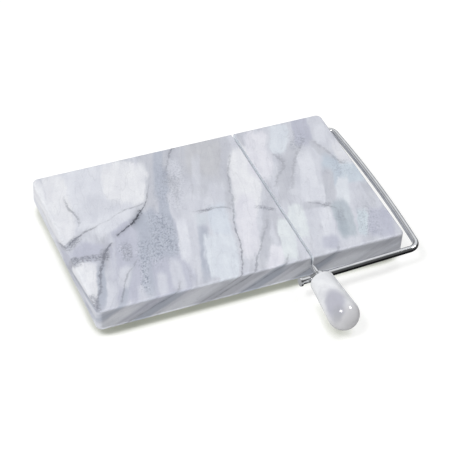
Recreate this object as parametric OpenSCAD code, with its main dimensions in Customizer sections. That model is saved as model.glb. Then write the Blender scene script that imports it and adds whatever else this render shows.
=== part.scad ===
// Cheese slicer: a marble board with a cutting slot, and a wire on a hinged rod bow.
// Origin: middle of the whole slicer's outline, on the plane that the feet stand on.
// +X runs along the board towards the side arm of the bow, +Y from the handle to the pivot, +Z up.
// The bow is drawn closed, with the wire lying in the slot.

/* [Board] */
// Length of the marble board
board_length = 203; // [180:1:260]
// Width of the marble board, front to back
board_width = 127; // [115:1:160]
// Thickness of the marble board
board_thickness = 16; // [14:0.5:20]
// Radius of the four upright corners
board_corner_radius = 4; // [3:0.5:8]
// Radius of the top and bottom edges
board_edge_radius = 1.6; // [1:0.1:2.5]

/* [Cutting slot] */
// Distance from the right end of the board to the middle of the slot
slot_from_right = 64.1; // [45:0.1:80]
// Width of the slot
slot_width = 1.8; // [1.6:0.1:3.5]
// Depth of the slot floor below the top of the board
slot_depth = 6.9; // [6.5:0.1:8]

/* [Feet] */
// Height of a foot with its adhesive disc
foot_height = 6; // [4:0.5:9]
// Diameter of a foot where it meets the board
foot_top_diameter = 14; // [10:0.5:18]
// Diameter of a foot where it meets the table
foot_bottom_diameter = 11; // [8:0.5:16]
// Distance from the board's sides to the middle of a foot
foot_inset = 16; // [12:1:25]
// Thickness of the adhesive disc on top of a foot
adhesive_thickness = 0.5; // [0.3:0.1:1]

/* [Bow] */
// Diameter of the bow's rod
rod_diameter = 4.2; // [4:0.1:5]
// Depth of the pivot axis and the wire below the top of the board
pivot_depth = 6.3; // [5.5:0.1:7]
// Distance from the back of the board to the pivot axis
pivot_from_back = 11.5; // [9:0.5:16]
// Length of rod past the slot, inside the board
pivot_past_slot = 10; // [6:0.5:14]
// Radial clearance of the rod in its pivot hole
pivot_clearance = 0.08; // [0.05:0.01:0.1]
// Distance from the right end of the board to the middle of the side arm, at its widest
side_arm_gap = 7.6; // [7:0.1:12]
// Distance from the front of the board to the side arm's widest place
side_arm_widest = 45.5; // [30:0.5:80]
// Radius of the side arm's gentle outward curve
side_arm_curve = 830; // [500:10:2000]
// Distance from the front of the board to the middle of the front arm, at the wire
front_arm_gap = 10.8; // [10:0.1:16]
// Angle by which the front arm runs closer to the board at its corner
front_arm_slant = 2.4; // [0:0.1:3]
// Radius of the rod's front bend, on its centre line
front_bend_radius = 6.5; // [5:0.5:8]
// Radius of the rod's tighter rear bend, on its centre line
rear_bend_radius = 4.8; // [4:0.1:5]
// Length of the front arm past the wire
front_arm_past_wire = 13.2; // [10:0.1:16]

/* [Wire] */
// Diameter of the cutting wire
wire_diameter = 0.8; // [0.5:0.1:1]
// Diameter of the tension stud
stud_diameter = 4; // [3.5:0.1:4]
// Gap between the front of the board and the tip of the stud
stud_gap = 1.3; // [1.2:0.1:2]

/* [Handle] */
// Length of the handle grip
grip_length = 40.6; // [34:0.1:50]
// Diameter of the grip at the bow
grip_base_diameter = 15.4; // [14:0.1:18]
// Diameter of the grip's rounded end
grip_end_diameter = 19.5; // [17:0.1:22]
// Diameter of the domed washer under the grip
washer_diameter = 13.6; // [12:0.1:14]

/* [Hidden] */

$fn = 64;
// How far a cutting shape runs past the face it cuts
over = 1;

// Outline of the whole slicer, from the board's left end and back to the side arm and the grip
rod_radius = rod_diameter / 2;
eye_thickness = 2;
washer_gap = 0.1;
washer_height = 2.5;
washer_from_eye = eye_thickness / 2 + washer_gap;
total_length = board_length + side_arm_gap + rod_radius;
total_width = board_width + front_arm_gap + washer_from_eye + washer_height + grip_length;

// Board
board_bottom = foot_height;
board_top = board_bottom + board_thickness;
board_left = -total_length / 2;
board_right = board_left + board_length;
board_back = total_width / 2;
board_front = board_back - board_width;
board_centre = [
    board_left + board_length / 2,
    board_front + board_width / 2,
    board_bottom + board_thickness / 2
];
slot_x = board_right - slot_from_right;

// Pivot axis, which runs along X, and its hole with a drill point
pivot_y = board_back - pivot_from_back;
pivot_z = board_top - pivot_depth;
pivot_tip_x = slot_x - pivot_past_slot;
pivot_hole_radius = rod_radius + pivot_clearance;
pivot_hole_spare = 1.5;
drill_point_length = 1.3;

// Bow, in the level plane of the pivot axis. The side arm is an arc whose centre is far to the left,
// and each bend's centre lies on the line from there to the arc's end.
wire_eye_y = board_front - front_arm_gap;
side_arm_x = board_right + side_arm_gap;
curve_x = side_arm_x - side_arm_curve;
curve_y = board_front + side_arm_widest;
to_rear_bend = side_arm_curve - rear_bend_radius;
to_front_bend = side_arm_curve - front_bend_radius;
rear_angle = asin((pivot_y - rear_bend_radius - curve_y) / to_rear_bend);
rear_bend_x = curve_x + to_rear_bend * cos(rear_angle);
front_arm_drop = (curve_y - wire_eye_y) * cos(front_arm_slant) - (curve_x - slot_x) * sin(front_arm_slant);
front_angle = asin((front_arm_drop - front_bend_radius) / to_front_bend) - front_arm_slant;
front_bend_x = curve_x + to_front_bend * cos(front_angle);
front_bend_end_x = front_bend_x + front_bend_radius * sin(front_arm_slant);

// How far a bend's ends reach into the straight rods, as an angle, and how far inside their surface
bend_end_angle = 1;
bend_inset = 0.04;

// Upset head on the tip of the front arm
head_diameter = 5.8;
head_thickness = 1.3;

// Flattened eye that the stud slides through
eye_diameter = 8.4;
eye_flat_half = 3;
eye_shoulder_radius = 4;
eye_neck_start = 2.2;
eye_neck_radius = 3.5;
eye_neck_end = 6.6;
stud_clearance = 0.08;

// Wire fastenings
wire_hole_diameter = 1;
anchor_diameter = 1.6;
anchor_length = 1;
anchor_pocket_diameter = 1.8;
seat_gap = 0.02;
ferrule_diameter = 1.8;
ferrule_length = 4;
stud_bore_diameter = 2;
stud_shoulder_length = 6;
stud_length = 34;
crimp_clearance = 0.01;

// Positions along the wire, from the eye forwards
stud_back_y = board_front - stud_gap;
stud_front_y = stud_back_y - stud_length;
stud_shoulder_y = stud_back_y - stud_shoulder_length;
ferrule_front_y = stud_shoulder_y - seat_gap - ferrule_length;
anchor_back_y = pivot_y + seat_gap + anchor_length;
washer_back_y = wire_eye_y - washer_from_eye;
washer_wall = 0.9;
washer_crown_radius = 3;
grip_back_y = washer_back_y - washer_height;

// Grip, whose round end stands a little proud of its cone, and the insert pressed into it
grip_edge_radius = 0.8;
ball_proud = 0.04;
insert_diameter = 7;
insert_length = 24;
insert_recess = 0.4;
insert_clearance = 0.02;
insert_groove_depth = 0.4;
insert_groove_width = 1.5;
thread_clearance = 0.06;

// Upright section through a slab's edge, from X = 0 out to its round face
module edge_section(depth, height, edge) {
    translate([0, -height / 2])
        square([depth - edge, height]);
    translate([0, edge - height / 2])
        square([depth, height - 2 * edge]);
    for (level = [-1, 1])
        translate([depth - edge, level * (height / 2 - edge)])
            circle(r = edge);
}

// A flat slab, centred, with round corners and round top and bottom edges
module rounded_slab(length, width, height, corner, edge) {
    straight_x = length - 2 * corner;
    straight_y = width - 2 * corner;
    cube([straight_x, straight_y, height], center = true);
    for (turn = [0, 180])
        rotate([0, 0, turn]) {
            slab_side(straight_x / 2, straight_y, height, corner, edge);
            slab_corner(straight_x / 2, straight_y / 2, height, corner, edge);
            rotate([0, 0, 90]) {
                slab_side(straight_y / 2, straight_x, height, corner, edge);
                slab_corner(straight_y / 2, straight_x / 2, height, corner, edge);
            }
        }
}

// The strip along one side of a slab, starting at this X and running along Y
module slab_side(start, run, height, depth, edge) {
    translate([start, run / 2, 0])
        rotate([90, 0, 0])
            linear_extrude(run)
                edge_section(depth, height, edge);
}

// One round corner of a slab, turned about the upright line at x, y
module slab_corner(x, y, height, corner, edge) {
    translate([x, y, 0])
        rotate_extrude(angle = 90)
            edge_section(corner, height, edge);
}

// Places its children with their own Z axis pointing forwards, away from the board, at y
module along_wire(y) {
    translate([slot_x, y, pivot_z])
        rotate([90, 0, 0])
            children();
}

module marble_board() {
    color("whitesmoke")
        difference() {
            translate(board_centre)
                rounded_slab(board_length, board_width, board_thickness,
                             board_corner_radius, board_edge_radius);
            translate([slot_x - slot_width / 2, board_front - over, board_top - slot_depth])
                cube([slot_width, board_width + 2 * over, slot_depth + over]);
            pivot_hole();
        }
}

// The blind hole for the bow, drilled in from the right end of the board
module pivot_hole() {
    hole_end_x = pivot_tip_x - pivot_hole_spare;
    translate([hole_end_x, pivot_y, pivot_z])
        rotate([0, 90, 0]) {
            cylinder(h = board_right + over - hole_end_x, r = pivot_hole_radius);
            translate([0, 0, -drill_point_length])
                cylinder(h = drill_point_length, r1 = 0, r2 = pivot_hole_radius);
        }
}

// side is -1 for left and 1 for right; end is -1 for front and 1 for rear
module at_foot(side, end) {
    from_centre_x = side * (board_length / 2 - foot_inset);
    from_centre_y = end * (board_width / 2 - foot_inset);
    translate([board_centre.x + from_centre_x, board_centre.y + from_centre_y, 0])
        children();
}

module rubber_foot(side, end) {
    rubber_height = foot_height - adhesive_thickness;
    rim = 0.8;
    color("dimgray")
        at_foot(side, end)
            rotate_extrude() {
                polygon([
                    [0, 0],
                    [foot_bottom_diameter / 2 - rim, 0],
                    [foot_bottom_diameter / 2, rim],
                    [foot_top_diameter / 2, rubber_height],
                    [0, rubber_height]
                ]);
            }
}

module adhesive_disc(side, end) {
    color("tan")
        at_foot(side, end)
            translate([0, 0, foot_height - adhesive_thickness])
                cylinder(h = adhesive_thickness, d = foot_top_diameter - 1);
}

module bow_rod() {
    color("silver")
        difference() {
            translate([0, 0, pivot_z]) {
                pivot_arm();
                side_arm();
                front_arm();
            }
            anchor_pocket();
            along_wire(wire_eye_y)
                cylinder(h = 3 * rod_diameter, d = stud_diameter + 2 * stud_clearance, center = true);
        }
}

module pivot_arm() {
    translate([pivot_tip_x, pivot_y, 0])
        rotate([0, 90, 0])
            cylinder(h = rear_bend_x - pivot_tip_x, r = rod_radius);
    translate([rear_bend_x, pivot_y - rear_bend_radius, 0])
        rod_bend(rear_bend_radius, rear_angle, 90 - rear_angle);
}

module side_arm() {
    front_sweep = 90 - front_arm_slant - front_angle;
    translate([curve_x, curve_y, 0]) {
        rotate([0, 0, -front_angle])
            rotate_extrude(angle = front_angle + rear_angle)
                translate([side_arm_curve, 0])
                    circle(r = rod_radius);
        rotate([0, 0, -front_angle])
            translate([to_front_bend, 0, 0])
                rod_bend(front_bend_radius, -front_sweep, front_sweep);
    }
}

// A bend in the rod, with its two ends set a little way inside the straight rods
module rod_bend(radius, from, sweep) {
    rotate([0, 0, from - bend_end_angle])
        rotate_extrude(angle = sweep + 2 * bend_end_angle)
            translate([radius, 0])
                circle(r = rod_radius - bend_inset);
}

// The front arm, with a head on its tip and an eye pressed flat, square to the wire
module front_arm() {
    to_bend = (front_bend_end_x - slot_x) / cos(front_arm_slant);
    to_tip = front_arm_past_wire / cos(front_arm_slant);
    translate([slot_x, wire_eye_y, 0])
        difference() {
            rotate([0, 0, front_arm_slant]) {
                translate([-to_tip, 0, 0])
                    rotate([0, 90, 0]) {
                        cylinder(h = to_tip + to_bend, r = rod_radius);
                        cylinder(h = head_thickness, d = head_diameter);
                    }
                eye_swelling();
            }
            for (side = [0, 180])
                rotate([0, 0, side])
                    eye_press();
        }
}

// The rod swelled out round the eye
module eye_swelling() {
    rotate([90, 0, 0])
        sphere(d = eye_diameter);
    for (side = [-1, 1])
        rotate([0, side * 90, 0])
            translate([0, 0, eye_neck_start])
                cylinder(h = eye_neck_end - eye_neck_start, r1 = eye_neck_radius, r2 = rod_radius - 0.1);
}

// The space on one side of the eye that the press leaves
module eye_press() {
    depth = 2 * eye_shoulder_radius;
    height = eye_diameter + 2 * over;
    face_y = eye_thickness / 2;
    translate([-eye_flat_half, face_y, -height / 2])
        cube([2 * eye_flat_half, depth, height]);
    for (end = [-1, 1])
        translate([end * eye_flat_half, face_y + eye_shoulder_radius, 0])
            cylinder(h = height, r = eye_shoulder_radius, center = true);
}

// The hole across the pivot arm, wide at the back for the anchor barrel
module anchor_pocket() {
    along_wire(pivot_y + rod_diameter) {
        cylinder(h = 2 * rod_diameter, d = wire_hole_diameter);
        cylinder(h = rod_diameter, d = anchor_pocket_diameter);
    }
}

module cutting_wire() {
    color("gainsboro")
        along_wire(anchor_back_y)
            cylinder(h = anchor_back_y - ferrule_front_y, d = wire_diameter);
}

// A short tube crimped on the wire, with its back at y
module crimped_tube(y, length, diameter) {
    along_wire(y)
        difference() {
            cylinder(h = length, d = diameter);
            translate([0, 0, -over])
                cylinder(h = length + 2 * over, d = wire_diameter + 2 * crimp_clearance);
        }
}

module wire_anchor_barrel() {
    color("darkgray")
        crimped_tube(anchor_back_y, anchor_length, anchor_diameter);
}

module wire_end_ferrule() {
    color("darkgray")
        crimped_tube(stud_shoulder_y - seat_gap, ferrule_length, ferrule_diameter);
}

module tension_stud() {
    tip_chamfer = 0.5;
    radius = stud_diameter / 2;
    color("silver")
        along_wire(stud_back_y)
            difference() {
                rotate_extrude()
                    polygon([
                        [0, 0],
                        [radius - tip_chamfer, 0],
                        [radius, tip_chamfer],
                        [radius, stud_length - tip_chamfer],
                        [radius - tip_chamfer, stud_length],
                        [0, stud_length]
                    ]);
                translate([0, 0, -over])
                    cylinder(h = stud_length, d = wire_hole_diameter);
                translate([0, 0, stud_shoulder_length])
                    cylinder(h = stud_length, d = stud_bore_diameter);
            }
}

module domed_washer() {
    rim_radius = washer_diameter / 2;
    hole_radius = stud_diameter / 2 + 0.15;
    color("silver")
        along_wire(washer_back_y)
            rotate_extrude()
                polygon([
                    [hole_radius, 0],
                    [washer_crown_radius, 0],
                    [rim_radius - 0.7, washer_height - 0.9],
                    [rim_radius, washer_height - 0.4],
                    [rim_radius, washer_height],
                    [rim_radius - washer_wall, washer_height],
                    [washer_crown_radius, washer_wall],
                    [hole_radius, washer_wall]
                ]);
}

module handle_grip() {
    end_radius = grip_end_diameter / 2;
    base_radius = grip_base_diameter / 2;
    ball_z = grip_length - end_radius;
    color("ghostwhite")
        along_wire(grip_back_y)
            difference() {
                union() {
                    rotate_extrude()
                        polygon([
                            [0, 0],
                            [base_radius - grip_edge_radius, 0],
                            [base_radius - grip_edge_radius * 0.3, grip_edge_radius * 0.3],
                            [base_radius, grip_edge_radius],
                            [end_radius - ball_proud, ball_z],
                            [0, ball_z]
                        ]);
                    translate([0, 0, ball_z])
                        sphere(r = end_radius);
                }
                translate([0, 0, -over])
                    cylinder(h = insert_recess + insert_length + over,
                             d = insert_diameter + 2 * insert_clearance);
            }
}

module handle_insert() {
    radius = insert_diameter / 2;
    color("goldenrod")
        along_wire(grip_back_y - insert_recess)
            difference() {
                cylinder(h = insert_length, r = radius);
                for (level = [0.25, 0.75])
                    translate([0, 0, insert_length * level])
                        groove_ring(radius);
                translate([0, 0, -over])
                    cylinder(h = insert_length + 2 * over, d = stud_diameter + 2 * thread_clearance);
            }
}

// A square groove round a cylinder of this radius
module groove_ring(radius) {
    difference() {
        cylinder(h = insert_groove_width, r = radius + over);
        translate([0, 0, -over])
            cylinder(h = insert_groove_width + 2 * over, r = radius - insert_groove_depth);
    }
}

marble_board();
rubber_foot(-1, -1);  // foot_front_left
rubber_foot(1, -1);  // foot_front_right
rubber_foot(-1, 1);  // foot_rear_left
rubber_foot(1, 1);  // foot_rear_right
adhesive_disc(-1, -1);  // adhesive_front_left
adhesive_disc(1, -1);  // adhesive_front_right
adhesive_disc(-1, 1);  // adhesive_rear_left
adhesive_disc(1, 1);  // adhesive_rear_right
bow_rod();
cutting_wire();
wire_anchor_barrel();
wire_end_ferrule();
tension_stud();
domed_washer();
handle_grip();
handle_insert();
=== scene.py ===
"""Finishes a marble cheese slicer with a wire bow: its stone, chrome, steel and rubber.

It also sets up the camera, the lights and the white table that the slicer stands on.
"""
import math

import bpy
from mathutils import Matrix, Vector


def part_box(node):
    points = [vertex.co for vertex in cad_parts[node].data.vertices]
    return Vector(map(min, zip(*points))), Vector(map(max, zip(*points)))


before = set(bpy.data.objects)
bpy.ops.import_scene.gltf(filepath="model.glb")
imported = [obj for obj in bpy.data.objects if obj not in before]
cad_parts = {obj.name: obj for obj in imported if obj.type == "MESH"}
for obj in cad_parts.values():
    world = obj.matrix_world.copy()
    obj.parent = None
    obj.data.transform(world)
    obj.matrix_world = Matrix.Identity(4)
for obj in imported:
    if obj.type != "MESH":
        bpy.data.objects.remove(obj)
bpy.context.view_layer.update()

# Camera: where it stands round the object, in degrees and metres, and its lens and sensor, in millimetres
CAMERA_AZIMUTH = -25.14
CAMERA_ELEVATION = 42.22
CAMERA_ROLL = 3.61
CAMERA_DISTANCE = 1.0395
CAMERA_LENS = 133.0
CAMERA_SENSOR = 36
CAMERA_TARGET = Vector((-0.0063, 0.00831, 0.022))

# Lights: where they point, how far away they stand, in metres
LIGHT_TARGET = Vector((0.03, -0.05, 0.02))
LIGHT_DISTANCE = 1.4

# Table: half its width, and how far its glow looks round for things that stand close above it, to paint
# their shadow, in metres
TABLE_REACH = 3
GLOW_REACH = 0.012

# Board, in millimetres: its slot, and how far its pattern shifts for each millimetre down its edges
SLOT_HALF_WIDTH = 0.9
SLOT_DEPTH = 6.9
SHIFT_ALONG = -1.7
SHIFT_BACK = 0.7

# Where the painted highlights on the board's two long front arrises fade in: the lower by its depth, the
# upper by its distance back
LOWER_ARRIS_HIGHLIGHT = (-13.3, -14.1)
UPPER_ARRIS_HIGHLIGHT = (1.8, 1.1)

# Half depth of a slab of stone, in millimetres, so large that the slab goes right through the board
ANY_DEPTH = 1e6

# The slabs are worked out in groups of this size, each nudged by this much, in millimetres
SLABS_PER_NUDGE = 8
NUDGE = 1e-6

# Millimetres in a metre, and how far a noise mostly swings from its middle
MILLIMETRES = 1000
NOISE_SWING = 0.4

# The share of its display colour that stone, rubber or foam gives back, which keeps lit stone from clipping
COLOUR_SHARE = 0.95

# Painted light inside the slot: a pale colour that stands in for the light on its walls, given as linear
# light
PAINTED_SLOT_LIGHT = (0.87, 0.90, 0.94, 1)

# Marble colours, as display values from 0 to 255
SNOW = (226, 227, 231)
CREAM = (220, 221, 226)
MILK = (217, 219, 226)
FROST = (216, 220, 226)
BLUE_WHITE = (214, 219, 226)
GREEN_WHITE = (219, 224, 227)
ROSE_WHITE = (221, 221, 228)
ICE = (208, 214, 223)
DULL_ICE = (205, 211, 218)
MIST = (207, 209, 217)
PALE_TEAL = (203, 212, 219)
SEA_MIST = (199, 208, 217)
SEA_GREY = (190, 199, 210)
GREY = (194, 196, 204)
WARM_GREY = (195, 196, 201)
LAVENDER = (188, 190, 203)
SLATE = (180, 185, 197)
TEAL = (182, 190, 198)
DARK_TEAL = (170, 179, 188)
SMUDGE = (165, 168, 178)
DARK_GRAIN = (134, 140, 154)
VEIN = (128, 130, 140)
DARK_VEIN = (84, 87, 98)
BLACK_VEIN = (60, 63, 72)

# Slabs of stone on the board, in millimetres from its centre, from the lowest layer to the highest:
# x, y, half width, half length, lean of the length from +Y towards +X in degrees, softness, strength, colour
SLABS = [
    (-72, 38, 22, 34, 10, 0.2, 1.0, MILK),
    (-5, 34, 30, 38, 14, 0.15, 1.0, GREY),
    (11, 48, 12, 20, 18, 0.3, 1.0, WARM_GREY),
    (-56, -32, 25, 38, 18, 0.15, 1.0, LAVENDER),
    (-17, -16, 12, 34, 18, 0.2, 1.0, MIST),
    (75, 0, 20, 66, 18, 0.2, 1.0, MIST),
    (-90, -12, 9, 9, 40, 0.3, 1.0, LAVENDER),
    (-74, 26, 8, 10, 10, 0.5, 0.7, MIST),
    (-63, 10, 6, 17, 66, 0.3, 0.9, MILK),
    (-107, 30, 9, 40, 4, 0.2, 1.0, SNOW),
    (-107, -42, 8, 22, 4, 0.3, 1.0, MILK),
    (-93, 33, 7.5, 36, 9, 0.2, 1.0, SNOW),
    (-47, 41, 14, 21, 17, 0.15, 1.0, SNOW),
    (-66, 24, 12, 6, 20, 0.4, 0.6, MIST),
    (-97, -37, 7, 16.5, 10, 0.16, 1.0, SNOW),
    (-92, -43, 2.6, 19, 19, 0.35, 1.0, SLATE),
    (-80, -52, 2.2, 20, 26, 0.4, 0.9, SLATE),
    (-77, -40, 4, 9, 24, 0.35, 0.9, MIST),
    (-90, -54, 2.4, 12, 18, 0.4, 0.9, MIST),
    (-68, -58, 5, 7, 16, 0.4, 0.9, MIST),
    (-45, -12, 12, 22, 12, 0.25, 1.0, SLATE),
    (-62, -42, 3.5, 20, 14, 0.4, 0.9, SLATE),
    (-33, 4, 4, 18, 16, 0.3, 1.0, SLATE),
    (-31, -21, 3.6, 19, 16, 0.25, 1.0, MILK),
    (-46, -50, 4, 14, 14, 0.3, 0.8, MIST),
    (-57, -55, 3, 10, 16, 0.3, 0.8, MIST),
    (-22, -36, 3.6, 24, 17, 0.35, 1.0, SLATE),
    (-25, 32, 5, 15, 16, 0.35, 1.0, SLATE),
    (-20, 52, 3, 14, 22, 0.35, 0.9, SLATE),
    (-12, 43, 4, 9, 16, 0.3, 0.9, MIST),
    (-15, 15, 4, 16, 22, 0.25, 0.8, MIST),
    (0, 34, 3, 16, 22, 0.3, 0.7, MIST),
    (-25, 10, 2.5, 12, 14, 0.3, 0.8, MIST),
    (24, 44, 2.6, 22, 22, 0.4, 0.9, GREY),
    (4, 10, 5, 11, 20, 0.3, 0.8, MIST),
    (-3, -13, 6.5, 15, 14, 0.25, 1.0, ICE),
    (-13, -8, 4, 5, 12, 0.5, 0.8, DULL_ICE),
    (-14, -43, 9.8, 20, 17, 0.13, 1.0, BLUE_WHITE),
    (27, 17, 9.5, 33, 20, 0.14, 1.0, SNOW),
    (11, -24, 7, 28, 20, 0.16, 1.0, ROSE_WHITE),
    (16, -55, 5.5, 10, 24, 0.2, 1.0, ROSE_WHITE),
    (19, -34, 2.8, 27, 26, 0.35, 1.0, GREY),
    (33, -10, 4, 9, 40, 0.35, 0.9, GREY),
    (30, -44, 5, 20, 18, 0.16, 1.0, GREEN_WHITE),
    (43, -31, 5.5, 15, 16, 0.16, 1.0, GREEN_WHITE),
    (46, 38, 8.5, 25, 18, 0.15, 1.0, ROSE_WHITE),
    (64, 48, 6.5, 15, 21, 0.16, 1.0, BLUE_WHITE),
    (57, 48, 1.6, 14, 22, 0.5, 0.8, MIST),
    (46, 0, 5, 17, 24, 0.3, 0.7, MIST),
    (49, 3, 3, 18, 26, 0.35, 1.0, GREY),
    (57, 18, 4.8, 20, 32, 0.2, 1.0, GREY),
    (73, 39, 4, 12, 38, 0.25, 1.0, GREY),
    (83, 52, 6, 18, 16, 0.16, 1.0, LAVENDER),
    (66, 5, 5.2, 27, 20, 0.16, 1.0, MILK),
    (86, 28, 3, 13, -14, 0.35, 1.0, GREY),
    (93, 43, 4.6, 10, 18, 0.25, 1.0, MILK),
    (98, 21, 4.6, 14, 8, 0.3, 1.0, CREAM),
    (93, 2, 11, 10, 10, 0.3, 1.0, SEA_MIST),
    (84, 8, 5.5, 15, 20, 0.3, 1.0, SEA_GREY),
    (75, -8, 4, 19, 20, 0.25, 1.0, GREY),
    (83, -14, 4.2, 14, 21, 0.2, 1.0, FROST),
    (66, -14, 3.2, 12, 20, 0.3, 0.9, MILK),
    (72, -38, 6, 17, 15, 0.2, 1.0, TEAL),
    (69, -42, 2.4, 11, 16, 0.4, 1.0, DARK_TEAL),
    (60, -37, 4, 15, 18, 0.16, 1.0, MILK),
    (51, -42, 3, 18, 18, 0.3, 0.8, MIST),
    (57, -20, 3.5, 7, 96, 0.4, 0.9, GREY),
    (92, -48, 8, 14, 20, 0.2, 1.0, LAVENDER),
    (81, -44, 3, 11, 20, 0.3, 1.0, PALE_TEAL),
    (54, -54, 5, 6, 20, 0.4, 0.9, LAVENDER),
    (-93, -71, 8, 6.5, 10, 0.3, 1.0, SLATE),
    (-75, -71, 7, 6.5, 10, 0.3, 1.0, MILK),
    (-50, -71, 7, 6.5, 20, 0.25, 1.0, SLATE),
    (-28, -71, 10, 6.5, 10, 0.3, 1.0, MILK),
    (-4, -71, 5, 6.5, 20, 0.3, 1.0, GREY),
    (21, -71, 8, 6.5, 15, 0.25, 1.0, SLATE),
    (42, -71, 5, 6.5, 15, 0.3, 1.0, MILK),
    (57, -71, 5, 6.5, 20, 0.25, 1.0, SLATE),
    (78, -71, 10, 6.5, 10, 0.3, 1.0, MILK),
]

# Smudges of fine net-like veining, as slabs: x, y, half width, half length, lean, strength
SMUDGES = [
    (-96, -2.5, 3, 6.5, 45, 1.0),
    (-93, -18.5, 2.6, 12, 96, 1.0),
    (-100, -18.5, 3.5, 4, 0, 1.0),
    (-81, -18, 2.4, 5, 20, 1.0),
    (-67, -20, 3, 7, 15, 0.55),
    (71, -35, 2.5, 6, 20, 0.4),
    (-101, -56, 2.5, 8, 0, 0.8),
    (-7, -0.5, 1.4, 5, 85, 0.8),
    (29, -12, 1.6, 6, 120, 0.8),
    (66, -23, 1.6, 4, 70, 0.6),
    (-20, 34, 4, 6, 20, 0.35),
]

# Patches of fine dark mottling, as slabs: x, y, half width, half length, lean, strength
MOTTLES = [
    (-41, -13, 7, 17, 8, 0.9),
    (-64, -42, 3, 14, 16, 1.0),
    (-54, -26, 9, 12, 14, 0.75),
    (-68, -19, 4, 7, 10, 0.9),
    (-37, 2, 3, 5, 20, 1.0),
    (86, -44, 7, 14, 20, 0.45),
    (-20, 30, 9, 22, 20, 0.45),
    (76, 42, 5, 8, 20, 0.6),
    (92, 8, 7, 8, 10, 0.4),
]

# Veins, in millimetres: the axis that they run along, their width, their strength at each end and in the
# middle, their colour, and their points in order along that axis, each as along, across
VEINS = [
    ("x", 0.8, (0.5, 1.0, 0.4), DARK_VEIN,
     [(-68, -4.5), (-60, -0.5), (-53, 4), (-47, 11), (-40, 19), (-36.5, 25), (-33, 34)]),
    ("x", 1.9, (1.0, 1.0, 1.0), BLACK_VEIN, [(-57, 1), (-52.5, 4.5), (-48, 10), (-46, 12)]),
    ("x", 0.6, (0.6, 0.8, 1.0), DARK_VEIN, [(-68, -4.5), (-63, -2.3), (-58, 0.3)]),
    ("y", 1.4, (0.5, 0.75, 1.0), VEIN,
     [(-76, -107), (-57, -100), (-45, -94), (-25, -85), (-15, -79.5), (-8, -73)]),
    ("x", 1.1, (1.0, 0.8, 0.35), VEIN, [(-99, -4), (-92, 2), (-85, 6), (-77, 8)]),
    ("x", 0.6, (0.3, 0.25, 0.25), VEIN, [(-83, 6), (-76, 9), (-69, 11), (-61, 14)]),
    ("x", 0.6, (0.25, 0.6, 0.5), VEIN, [(-63, 13), (-55, 16), (-48, 17), (-41, 18.5)]),
    ("y", 1.0, (0.3, 0.6, 0.2), VEIN, [(12, -88), (22, -86.5), (30, -88), (42, -84)]),
    ("y", 0.8, (0.6, 0.75, 0.35), VEIN,
     [(-77, -13.5), (-63, -9.5), (-50, -4), (-38, 0), (-22, 4), (-8, 9), (5, 12)]),
    ("y", 1.1, (0.3, 0.4, 0.3), VEIN, [(0, 12), (12, 14), (28, 20), (44, 27)]),
    ("x", 0.6, (0.2, 0.3, 0.55), VEIN, [(-17, 0.5), (-8, -0.5), (0, -1), (9, -6)]),
    ("y", 1.8, (0.3, 0.35, 0.4), VEIN, [(4, 43), (15, 50), (25, 57), (36, 54.5)]),
    ("y", 1.8, (0.25, 0.35, 0.3), VEIN, [(-2, 52), (8, 57), (20, 62), (28, 69), (44, 80)]),
    ("y", 1.6, (0.4, 0.4, 0.2), VEIN, [(11, 98), (15, 92.5), (23, 91), (31, 88), (38, 84)]),
    ("x", 1.2, (0.3, 0.6, 0.4), VEIN, [(56, -17), (64, -22), (72, -28)]),
    ("y", 1.2, (0.25, 0.45, 0.8), VEIN, [(40, -19), (47, -16), (56, -10), (63, -5)]),
    ("y", 1.3, (0.6, 0.5, 0.2), VEIN, [(-77, -8), (-61, 1), (-48, 8), (-36, 17), (-18, 27)]),
    ("y", 1.0, (0.5, 0.5, 0.3), VEIN, [(-60, -85), (-48, -80), (-34, -70), (-28, -62)]),
    ("y", 1.2, (0.6, 0.6, 0.15), VEIN, [(-77, -62), (-70, -56), (-62, -50), (-54, -46)]),
    ("y", 1.2, (0.5, 0.6, 0.15), VEIN, [(-77, 12), (-70, 17), (-62, 21), (-54, 25)]),
    ("y", 1.1, (0.5, 0.5, 0.1), VEIN, [(-77, 47), (-70, 52), (-62, 56), (-54, 59)]),
]


def make_camera():
    """A long lens that looks at the top of the board from its front left."""
    azimuth, elevation, roll = (math.radians(a) for a in (CAMERA_AZIMUTH, CAMERA_ELEVATION, CAMERA_ROLL))
    away = Vector((
        math.sin(azimuth) * math.cos(elevation),
        -math.cos(azimuth) * math.cos(elevation),
        math.sin(elevation),
    ))
    right = (-away).cross(Vector((0, 0, 1))).normalized()
    up = right.cross(-away)
    turned_right = right * math.cos(roll) + up * math.sin(roll)
    turned_up = up * math.cos(roll) - right * math.sin(roll)
    data = bpy.data.cameras.new("camera")
    data.lens = CAMERA_LENS
    data.sensor_width = CAMERA_SENSOR
    data.dof.use_dof = False
    camera = bpy.data.objects.new("camera", data)
    turn = Matrix((turned_right, turned_up, away)).transposed()
    camera.matrix_world = Matrix.Translation(CAMERA_TARGET + away * CAMERA_DISTANCE) @ turn.to_4x4()
    bpy.context.scene.collection.objects.link(camera)
    bpy.context.scene.camera = camera


def make_light(name, direction, size, power):
    """A soft square light in this direction from the handle, pointing at it."""
    data = bpy.data.lights.new(name, "AREA")
    data.size = size
    data.energy = power
    light = bpy.data.objects.new(name, data)
    light.location = LIGHT_TARGET + Vector(direction).normalized() * LIGHT_DISTANCE
    light.rotation_euler = (LIGHT_TARGET - light.location).to_track_quat("-Z", "Y").to_euler()
    bpy.context.scene.collection.objects.link(light)


def linear(display):
    """A display colour from 0 to 255 as the linear light that a surface gives back, with alpha."""
    parts = [c / 255 for c in display]
    light = [c / 12.92 if c <= 0.04045 else ((c + 0.055) / 1.055) ** 2.4 for c in parts]
    return (*(COLOUR_SHARE * c for c in light), 1)


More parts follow.
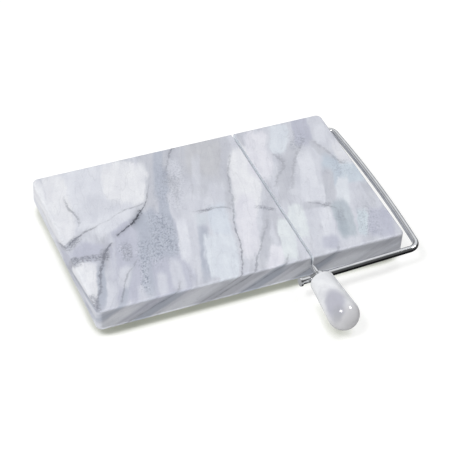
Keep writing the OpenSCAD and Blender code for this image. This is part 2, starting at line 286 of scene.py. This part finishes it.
class Graph:
    """A node tree, with short calls that add a node and give its result."""

    def __init__(self, tree):
        self.tree = tree

    def put(self, socket, value):
        """Links another node's result to a socket, or sets the socket to a constant."""
        if isinstance(value, bpy.types.NodeSocket):
            self.tree.links.new(value, socket)
        else:
            socket.default_value = value

    def node(self, kind, settings=None, **inputs):
        """A node; an input's name has underscores for its spaces."""
        node = self.tree.nodes.new(kind)
        for key, value in (settings or {}).items():
            setattr(node, key, value)
        for key, value in inputs.items():
            self.put(node.inputs[key.replace("_", " ")], value)
        return node

    def math(self, operation, *values, clamp=False):
        node = self.node("ShaderNodeMath", {"operation": operation, "use_clamp": clamp})
        for socket, value in zip(node.inputs, values):
            self.put(socket, value)
        return node.outputs[0]

    def product(self, first, *others):
        """Values multiplied together."""
        for other in others:
            first = self.math("MULTIPLY", first, other)
        return first

    def off_line(self, value, line):
        """How far a value is from a line, on either side."""
        return self.math("ABSOLUTE", self.math("SUBTRACT", value, line))

    def smooth(self, value, low, high, out_low=0.0, out_high=1.0):
        """A soft step from out_low, where value is low, to out_high, where it is high."""
        return self.node("ShaderNodeMapRange", {"interpolation_type": "SMOOTHSTEP"}, Value=value,
                         From_Min=low, From_Max=high, To_Min=out_low, To_Max=out_high).outputs[0]

    def curve(self, value, points):
        """A smooth curve through points, each from 0 to 1 both ways."""
        node = self.node("ShaderNodeFloatCurve", Value=value)
        line = node.mapping.curves[0]
        line.points[0].location = points[0]
        line.points[1].location = points[-1]
        for point in points[1:-1]:
            line.points.new(*point)
        node.mapping.update()
        return node.outputs[0]

    def vector(self, operation, *values):
        node = self.node("ShaderNodeVectorMath", {"operation": operation})
        for socket, value in zip(node.inputs, values):
            self.put(socket, value)
        return node.outputs["Value" if operation in ("LENGTH", "DOT_PRODUCT") else "Vector"]

    def scaled(self, vector, scale):
        node = self.node("ShaderNodeVectorMath", {"operation": "SCALE"}, Scale=scale)
        self.put(node.inputs[0], vector)
        return node.outputs["Vector"]

    def split(self, vector):
        """The X, Y and Z of a vector."""
        return self.node("ShaderNodeSeparateXYZ", Vector=vector).outputs

    def joined(self, x, y, z):
        """A vector with this X, Y and Z."""
        return self.node("ShaderNodeCombineXYZ", X=x, Y=y, Z=z).outputs[0]

    def moved(self, vector, shift, scale):
        """A position multiplied by scale, then shifted."""
        return self.node("ShaderNodeMapping", Vector=vector, Location=shift, Scale=scale).outputs[0]

    def inside(self, vector, centre=(0, 0, 0), lean=0.0, size=(1, 1, 1)):
        """A position as seen from inside a shape of this centre and size, leaning from +Y towards +X."""
        return self.node("ShaderNodeMapping", {"vector_type": "TEXTURE"}, Vector=vector, Location=centre,
                         Rotation=(0, 0, math.radians(-lean)), Scale=size).outputs[0]

    def noise(self, vector, scale, detail, roughness=0.5, output="Fac"):
        return self.node("ShaderNodeTexNoise", Vector=vector, Scale=scale, Detail=detail,
                         Roughness=roughness).outputs[output]

    def warp(self, vector, scale, reach, detail):
        """A position pushed about by up to roughly this reach."""
        push = self.vector("SUBTRACT", self.noise(vector, scale, detail, output="Color"), (0.5, 0.5, 0.5))
        return self.vector("ADD", vector, self.scaled(push, reach / NOISE_SWING))

    def mix(self, factor, first, second, blend="MIX"):
        """Two colours mixed. The node has its colour sockets after those for numbers and vectors."""
        node = self.node("ShaderNodeMix", {"data_type": "RGBA", "blend_type": blend})
        for index, value in ((0, factor), (6, first), (7, second)):
            self.put(node.inputs[index], value)
        return node.outputs[2]

    def shaded(self, colour, shade, blue_shade):
        """A colour multiplied by a shade, and its blue by its own shade."""
        grey = self.node("ShaderNodeCombineColor", Red=shade, Green=shade, Blue=blue_shade).outputs[0]
        return self.mix(1.0, colour, grey, "MULTIPLY")


def new_material(name):
    """A material, its graph and its main shader."""
    material = bpy.data.materials.new(name)
    material.use_nodes = True
    return material, Graph(material.node_tree), material.node_tree.nodes["Principled BSDF"]


def position(graph, centre=(0, 0, 0)):
    """The place on the object in millimetres from centre, which is in metres."""
    place = graph.node("ShaderNodeTexCoord").outputs["Object"]
    return graph.moved(place, tuple(-MILLIMETRES * c for c in centre), (MILLIMETRES,) * 3)


def bumped(graph, shader, height, distance, strength):
    bump = graph.node("ShaderNodeBump", Height=height, Distance=distance, Strength=strength)
    graph.put(shader.inputs["Normal"], bump.outputs[0])


def slab_mask(graph, place, shape, softness, ragged):
    """1 inside a leaning slab with round corners and 0 outside, with a ragged edge."""
    x, y, half_width, half_length, lean = shape
    inner = graph.inside(place, (x, y, 0), lean, (half_width, half_length, ANY_DEPTH))
    reach = graph.math("SQRT", graph.vector("LENGTH", graph.vector("MULTIPLY", inner, inner)))
    return graph.smooth(graph.math("ADD", reach, ragged), 1 + softness, 1 - softness)


def vein_mask(graph, place, axis, width, strengths, points, broken, swell):
    """The darkness of one vein: full on its line, falling off over its width, fading at its ends."""
    along, across = (place["X"], place["Y"]) if axis == "x" else (place["Y"], place["X"])
    start, end = points[0][0], points[-1][0]
    low, high = min(offset for _, offset in points), max(offset for _, offset in points)
    length, spread = end - start, max(high - low, 1)
    travel = graph.math("DIVIDE", graph.math("SUBTRACT", along, start), length, clamp=True)
    line = graph.curve(travel, [((run - start) / length, (offset - low) / spread) for run, offset in points])
    off = graph.off_line(across, graph.math("MULTIPLY_ADD", line, spread, low))
    # A vein that runs askew is wider when it's measured straight across
    steep = 0.5 * (1 + math.hypot(1, spread / length))
    core = graph.smooth(graph.math("DIVIDE", off, swell), width * steep, 0.15 * width)
    halo = graph.smooth(off, 4.0 * width * steep, 0.0, 0.0, 0.2)
    first, middle, last = strengths
    strength = graph.curve(travel, [(0, 0), (0.06, first), (0.5, middle), (0.94, last), (1, 0)])
    return graph.product(graph.math("MAXIMUM", graph.product(core, broken), halo), strength)


def add_slabs(graph, colour, place, ragged):
    """Lays the slabs of stone over a colour, one after another."""
    for number, (*shape, softness, strength, slab_colour) in enumerate(SLABS):
        if number % SLABS_PER_NUDGE == 0:
            # A nudge far too small to see makes Cycles work through the slabs in order, in little memory.
            # Without it the board renders black.
            nudged = graph.vector("ADD", place, graph.scaled(colour, NUDGE))
        mask = graph.product(slab_mask(graph, nudged, shape, softness, ragged), strength)
        colour = graph.mix(mask, colour, linear(slab_colour))
    return colour


def add_shades(graph, colour, loose, place, fine):
    """Faint shades in the stone: fine streaks, long shards and clouds that cross them."""
    shards = graph.noise(graph.inside(loose, lean=18, size=(1, 4.5, 2)), 0.16, 1.0)
    clouds = graph.noise(place, 0.09, 4.0, 0.6)
    shade = graph.product(
        graph.smooth(fine, 0.3, 0.7, 1.01, 0.985),
        graph.smooth(shards, 0.46, 0.54, 0.975, 1.015),
        graph.smooth(clouds, 0.3, 0.7, 1.03, 0.96),
    )
    return graph.shaded(colour, shade, graph.math("POWER", shade, 0.8))


def add_mottles(graph, colour, place, ragged):
    """Small dark and light grains, crowded together in a few places. Gives the dark grains as well."""
    grain = graph.noise(graph.inside(place, lean=30, size=(1, 1.6, 1)), 0.9, 3.0, 0.7)
    mottle = 0.0
    for *shape, strength in MOTTLES:
        mask = graph.product(slab_mask(graph, place, shape, 0.5, ragged), strength)
        mottle = graph.math("MAXIMUM", mottle, mask)
    stain = graph.smooth(graph.noise(place, 0.16, 4.0, 0.6), 0.54, 0.7, 0.0, 0.2)
    crowd = graph.math("ADD", mottle, stain, clamp=True)
    dark = graph.product(graph.smooth(grain, 0.51, 0.58), crowd)
    light = graph.product(graph.smooth(grain, 0.42, 0.34), crowd)
    colour = graph.mix(graph.product(dark, 0.75), colour, linear(DARK_GRAIN))
    return graph.mix(graph.product(light, 0.5), colour, linear(MILK)), dark


def add_smudges(graph, colour, place, ragged, fading):
    """Fine nets of veining, each over a soft grey smudge."""
    net = graph.smooth(graph.off_line(graph.noise(place, 0.42, 3.0, 0.6), 0.5), 0.075, 0.01)
    for *shape, strength in SMUDGES:
        mask = graph.product(slab_mask(graph, place, shape, 0.4, ragged), strength, fading)
        colour = graph.mix(graph.product(mask, 0.45), colour, linear(SMUDGE))
        colour = graph.mix(graph.product(mask, net, 0.8), colour, linear(VEIN))
    return colour


def add_veins(graph, colour, place, streaked, broken, swell):
    """The dark veins, and faint hair lines along the streaks."""
    parts = graph.split(place)
    for axis, width, strengths, vein_colour, points in VEINS:
        mask = vein_mask(graph, parts, axis, width, strengths, points, broken, swell)
        colour = graph.mix(mask, colour, linear(vein_colour))
    hairs = graph.smooth(graph.off_line(graph.noise(streaked, 0.1, 2.0), 0.5), 0.012, 0.0, 0.0, 0.12)
    return graph.mix(graph.product(hairs, broken), colour, linear(VEIN))


def painted_front_light(graph, from_front, depth, front_face, broken):
    """Painted shade and painted highlights: the front face is painted greyer than the top, and its two long
    arrises paler.
    """
    lower_highlight = graph.product(front_face, graph.smooth(depth, *LOWER_ARRIS_HIGHLIGHT, 0.0, 0.4))
    upper_highlight = graph.product(graph.smooth(from_front, *UPPER_ARRIS_HIGHLIGHT, 0.0, 0.12), graph.smooth(depth, -1.0, -0.7))
    arris_highlight = graph.product(graph.math("ADD", lower_highlight, upper_highlight), broken)
    return graph.product(graph.math("MULTIPLY_ADD", front_face, -0.12, 1.0), graph.math("ADD", arris_highlight, 1.0))


def slot_mask(graph, x, depth, centre):
    """1 in the slot that the wire lies in, where its walls get painted light, and 0 elsewhere."""
    wire_low, wire_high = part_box("cutting_wire")
    slot_x = MILLIMETRES * ((wire_low.x + wire_high.x) / 2 - centre.x)
    return graph.product(
        graph.smooth(depth, -0.05, -0.5),
        graph.smooth(depth, -SLOT_DEPTH - 0.3, -SLOT_DEPTH - 0.05),
        graph.smooth(graph.off_line(x, slot_x), SLOT_HALF_WIDTH + 0.08, SLOT_HALF_WIDTH + 0.02),
    )


def board_marble():
    """Honed white marble with leaning clouds, fine streaks, mottling and a few dark veins, with painted
    shade on its front face, painted highlights on the front arrises and painted light in the slot.
    """
    material, graph, shader = new_material("board_marble")
    low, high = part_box("marble_board")
    top = Vector(((low.x + high.x) / 2, (low.y + high.y) / 2, high.z))
    place = position(graph, top)
    parts = graph.split(place)
    depth = parts["Z"]
    from_front = graph.math("SUBTRACT", parts["Y"], MILLIMETRES * (low.y - top.y))
    # A mask of the front face, which gets painted shade and painted arris highlights further down
    front_face = graph.smooth(from_front, 0.5, 0.1)

    # The stone's layers lean, so its pattern shifts sideways and back down the board's edges
    along = graph.math("MULTIPLY_ADD", depth, SHIFT_ALONG, parts["X"])
    back = graph.math("MULTIPLY_ADD", depth, SHIFT_BACK, parts["Y"])
    loose = graph.warp(graph.joined(along, back, depth), 0.035, 2.2, 2.0)
    warped = graph.warp(loose, 0.17, 0.9, 3.0)
    streaked = graph.inside(warped, lean=17, size=(1, 6, 2))
    broad = graph.noise(streaked, 0.13, 3.0, 0.55)
    fine = graph.noise(streaked, 0.5, 4.0, 0.65)
    ragged = graph.math("ADD", graph.product(graph.math("SUBTRACT", broad, 0.5), 0.7),
                        graph.product(graph.math("SUBTRACT", fine, 0.5), 0.35))

    # Smudges fade down the board's edges. Veins do so too, except on its front, and they are broken up
    fading = graph.smooth(depth, -14.0, -1.0, 0.35, 1.0)
    broken = graph.product(graph.smooth(graph.noise(warped, 0.45, 3.0, 0.6), 0.34, 0.52, 0.4, 1.0),
                           graph.math("MAXIMUM", fading, front_face))
    swell = graph.smooth(graph.noise(place, 0.3, 2.0), 0.35, 0.65, 0.45, 1.7)

    colour = graph.mix(graph.smooth(broad, 0.4, 0.6), linear(GREY), linear(MIST))
    colour = add_slabs(graph, colour, warped, ragged)
    colour = add_shades(graph, colour, loose, warped, fine)
    colour, dark_grains = add_mottles(graph, colour, warped, ragged)
    colour = add_smudges(graph, colour, warped, ragged, fading)
    colour = add_veins(graph, colour, warped, streaked, broken, swell)

    # Sugary crystals, seen from close by
    crystals = graph.node("ShaderNodeTexVoronoi", Vector=place, Scale=1.7).outputs["Color"]
    crystal_tone = graph.node("ShaderNodeSeparateColor", Color=crystals).outputs[0]
    sparkle = graph.smooth(crystal_tone, 0, 1, 0.975, 1.02)
    # Painted shade on the front face and painted highlights on its arrises, over the crystals' own tone
    shade = graph.product(sparkle, painted_front_light(graph, from_front, depth, front_face, broken))
    colour = graph.shaded(colour, shade, shade)
    # Painted light in the slot: a pale colour where its walls would catch light
    colour = graph.mix(slot_mask(graph, parts["X"], depth, top), colour, PAINTED_SLOT_LIGHT)
    graph.put(shader.inputs["Base Color"], colour)

    rough = graph.smooth(graph.noise(place, 0.06, 4.0, 0.6), 0.3, 0.7, 0.32, 0.45)
    graph.put(shader.inputs["Roughness"], graph.math("MULTIPLY_ADD", dark_grains, 0.12, rough))
    shader.inputs["Specular IOR Level"].default_value = 0.35
    shader.inputs["Subsurface Weight"].default_value = 0.15
    shader.inputs["Subsurface Radius"].default_value = (1, 1, 1)
    shader.inputs["Subsurface Scale"].default_value = 0.0013
    pits = graph.smooth(graph.noise(place, 2.2, 2.0), 0.68, 0.75, 0.0, -0.35)
    waves = graph.product(graph.noise(place, 0.25, 3.0), 0.5)
    bumped(graph, shader, graph.math("ADD", pits, waves), 0.00012, 0.6)
    return material


def handle_marble():
    """Polished white marble with soft grey clouds round the grip, and a grey patch near its round end."""
    material, graph, shader = new_material("handle_marble")
    low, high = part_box("handle_grip")
    place = position(graph, (low + high) / 2)
    warped = graph.warp(place, 0.09, 2.5, 3.0)
    cloud = graph.noise(graph.inside(warped, lean=-35, size=(1, 2.2, 1)), 0.1, 4.0, 0.6)
    colour = graph.mix(graph.smooth(cloud, 0.35, 0.65), linear((218, 219, 222)), linear((231, 232, 234)))
    round_end = graph.smooth(graph.split(warped)["Y"], -6, -16, 0.0, 0.8)
    colour = graph.mix(round_end, colour, linear((208, 207, 210)))
    patch = graph.vector("LENGTH", graph.inside(warped, (-5, -6, 8), 20, (8, 12, 9)))
    colour = graph.mix(graph.smooth(patch, 1.2, 0.5), colour, linear((180, 180, 190)))
    core = graph.vector("LENGTH", graph.inside(warped, (-6.5, -13.5, 6), 34, (3, 5, 7)))
    colour = graph.mix(graph.smooth(core, 1.4, 0.3, 0.0, 0.6), colour, linear((160, 161, 167)))
    line = graph.off_line(graph.noise(warped, 0.07, 3.0, 0.6), 0.5)
    colour = graph.mix(graph.smooth(line, 0.02, 0.0, 0.0, 0.15), colour, linear(GREY))
    specks = graph.smooth(graph.noise(place, 1.6, 2.0, 0.6), 0.62, 0.74, 0.0, 0.12)
    graph.put(shader.inputs["Base Color"], graph.mix(specks, colour, linear(LAVENDER)))
    polish = graph.noise(place, 0.3, 4.0, 0.6)
    graph.put(shader.inputs["Roughness"], graph.smooth(polish, 0.3, 0.7, 0.09, 0.17))
    bumped(graph, shader, graph.noise(place, 0.35, 3.0), 0.00006, 0.5)
    return material


def chrome():
    """Bright chrome plate, with faint buffing and a little wear."""
    material, graph, shader = new_material("chrome_plate")
    place = position(graph)
    smudge = graph.smooth(graph.noise(place, 0.12, 4.0, 0.6), 0.3, 0.7)
    graph.put(shader.inputs["Base Color"], graph.mix(smudge, (0.64, 0.65, 0.665, 1), (0.73, 0.74, 0.75, 1)))
    shader.inputs["Metallic"].default_value = 1
    buffing = graph.smooth(graph.noise(place, 0.9, 4.0, 0.6), 0.3, 0.7, 0.1, 0.15)
    wear = graph.smooth(graph.noise(place, 1.2, 3.0, 0.7), 0.6, 0.75, 0.0, 0.08)
    graph.put(shader.inputs["Roughness"], graph.math("ADD", buffing, wear))
    bumped(graph, shader, graph.noise(place, 0.4, 1.0), 0.00001, 0.3)
    return material


def drawn_metal(name, dark, light, roughness, line_scale):
    """Metal with fine lines, as drawing or turning leaves them; line_scale sets how they run."""
    material, graph, shader = new_material(name)
    place = position(graph)
    lines = graph.noise(graph.moved(place, (0, 0, 0), line_scale), 4.0, 3.0, 0.6)
    spots = graph.smooth(graph.noise(place, 0.6, 3.0, 0.6), 0.3, 0.7)
    graph.put(shader.inputs["Base Color"], graph.mix(spots, (*dark, 1), (*light, 1)))
    shader.inputs["Metallic"].default_value = 1
    graph.put(shader.inputs["Roughness"], graph.smooth(lines, 0.25, 0.75, roughness, roughness + 0.14))
    bumped(graph, shader, lines, 0.00002, 0.5)
    return material


def soft_material(name, dark, light, grain, roughness, see_through):
    """Rubber or foam: fine grain, dusty patches and a matt face."""
    material, graph, shader = new_material(name)
    place = position(graph)
    dust = graph.noise(place, 0.25, 4.0, 0.6)
    speckle = graph.noise(place, grain, 3.0, 0.65)
    colour = graph.mix(graph.smooth(dust, 0.35, 0.65), linear(dark), linear(light))
    colour = graph.mix(graph.smooth(speckle, 0.55, 0.75, 0.0, 0.25), colour, linear(dark))
    graph.put(shader.inputs["Base Color"], colour)
    graph.put(shader.inputs["Roughness"], graph.smooth(dust, 0.3, 0.7, roughness, roughness + 0.15))
    shader.inputs["Subsurface Weight"].default_value = see_through
    shader.inputs["Subsurface Scale"].default_value = 0.002
    bumped(graph, shader, speckle, 0.0001, 0.6)
    return material


def make_world():
    """Dim studio walls, a window wall on the left, a pale panel high on the right, and a ground that
    is dark in front and pale behind."""
    world = bpy.data.worlds.new("studio")
    world.use_nodes = True
    graph = Graph(world.node_tree)
    way = graph.node("ShaderNodeTexCoord").outputs["Generated"]
    parts = graph.split(way)
    walls = graph.smooth(parts["Y"], -0.9, 0.1, 0.1, 0.2)
    left = Vector((-1, 0.1, 0.25)).normalized()
    right = Vector((0.5, 0.45, 0.74)).normalized()
    window = graph.smooth(graph.vector("DOT_PRODUCT", way, tuple(left)), 0.3, 0.9, 0.0, 0.75)
    panel = graph.smooth(graph.vector("DOT_PRODUCT", way, tuple(right)), 0.7, 0.96, 0.0, 0.75)
    bright = graph.math("ADD", graph.math("ADD", walls, window), panel)
    above = graph.smooth(parts["Z"], -0.1, 0.05, 0.1, 1.0)
    behind = graph.smooth(parts["Y"], 0.35, 0.7, 0.0, 0.6)
    ground = graph.product(behind, graph.smooth(parts["Z"], 0.0, -0.15))
    background = world.node_tree.nodes["Background"]
    background.inputs["Color"].default_value = (0.97, 0.98, 1, 1)
    graph.put(background.inputs["Strength"], graph.math("MULTIPLY_ADD", bright, above, ground))
    bpy.context.scene.world = world


def make_table():
    """A white table that glows, which the metal doesn't reflect, with a painted shadow under the board."""
    mesh = bpy.data.meshes.new("floor")
    corners = [(-1, -1), (1, -1), (1, 1), (-1, 1)]
    mesh.from_pydata([(TABLE_REACH * x, TABLE_REACH * y, 0) for x, y in corners], [], [(0, 1, 2, 3)])
    floor = bpy.data.objects.new("floor", mesh)
    bpy.context.scene.collection.objects.link(floor)
    floor.visible_glossy = False
    material, graph, shader = new_material("white_table")
    shader.inputs["Base Color"].default_value = (0.45, 0.45, 0.445, 1)
    shader.inputs["Roughness"].default_value = 0.9
    shader.inputs["Specular IOR Level"].default_value = 0.1
    # The table's own glow lifts the far shadows and dies out where something stands close above it, which
    # paints a yellow-green shadow under the board and anything else close above the table
    open_sky = graph.node("ShaderNodeAmbientOcclusion", {"samples": 16}, Distance=GLOW_REACH).outputs["AO"]
    glow_outside_painted_shadow = graph.smooth(open_sky, 0.48, 0.75)
    graph.put(shader.inputs["Emission Strength"], graph.math("MULTIPLY_ADD", glow_outside_painted_shadow, 0.41, 0.21))
    graph.put(shader.inputs["Emission Color"], graph.mix(glow_outside_painted_shadow, (0.96, 1, 0.78, 1), (1, 1, 0.985, 1)))
    mesh.materials.append(material)


make_camera()
make_world()
make_table()
make_light("left_softbox", (-0.50, -0.19, 0.84), 0.42, 10)
make_light("right_softbox", (0.66, -0.05, 0.75), 0.36, 5)
bpy.context.scene.view_settings.view_transform = "Standard"

plate = chrome()
zinc = drawn_metal("bright_zinc", (0.7, 0.71, 0.72), (0.8, 0.81, 0.82), 0.07, (1, 1, 1))
crimp = drawn_metal("crimped_steel", (0.42, 0.42, 0.43), (0.55, 0.55, 0.56), 0.3, (1, 1, 1))
wire = drawn_metal("drawn_wire", (0.55, 0.55, 0.56), (0.72, 0.72, 0.73), 0.16, (6, 0.3, 6))
brass = drawn_metal("turned_brass", (0.6, 0.43, 0.17), (0.78, 0.6, 0.3), 0.2, (1, 8, 1))
rubber = soft_material("foot_rubber", (150, 150, 143), (176, 176, 168), 1.6, 0.5, 0.15)
foam = soft_material("adhesive_foam", (178, 170, 148), (206, 198, 176), 2.4, 0.7, 0.1)
materials = {
    "marble_board": board_marble(),
    "handle_grip": handle_marble(),
    "bow_rod": plate,
    "tension_stud": zinc,
    "domed_washer": zinc,
    "cutting_wire": wire,
    "wire_anchor_barrel": crimp,
    "wire_end_ferrule": crimp,
    "handle_insert": brass,
}
for name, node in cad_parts.items():
    if name.startswith("foot"):
        materials[name] = rubber
    if name.startswith("adhesive"):
        materials[name] = foam
    node.data.materials.clear()
    node.data.materials.append(materials[name])
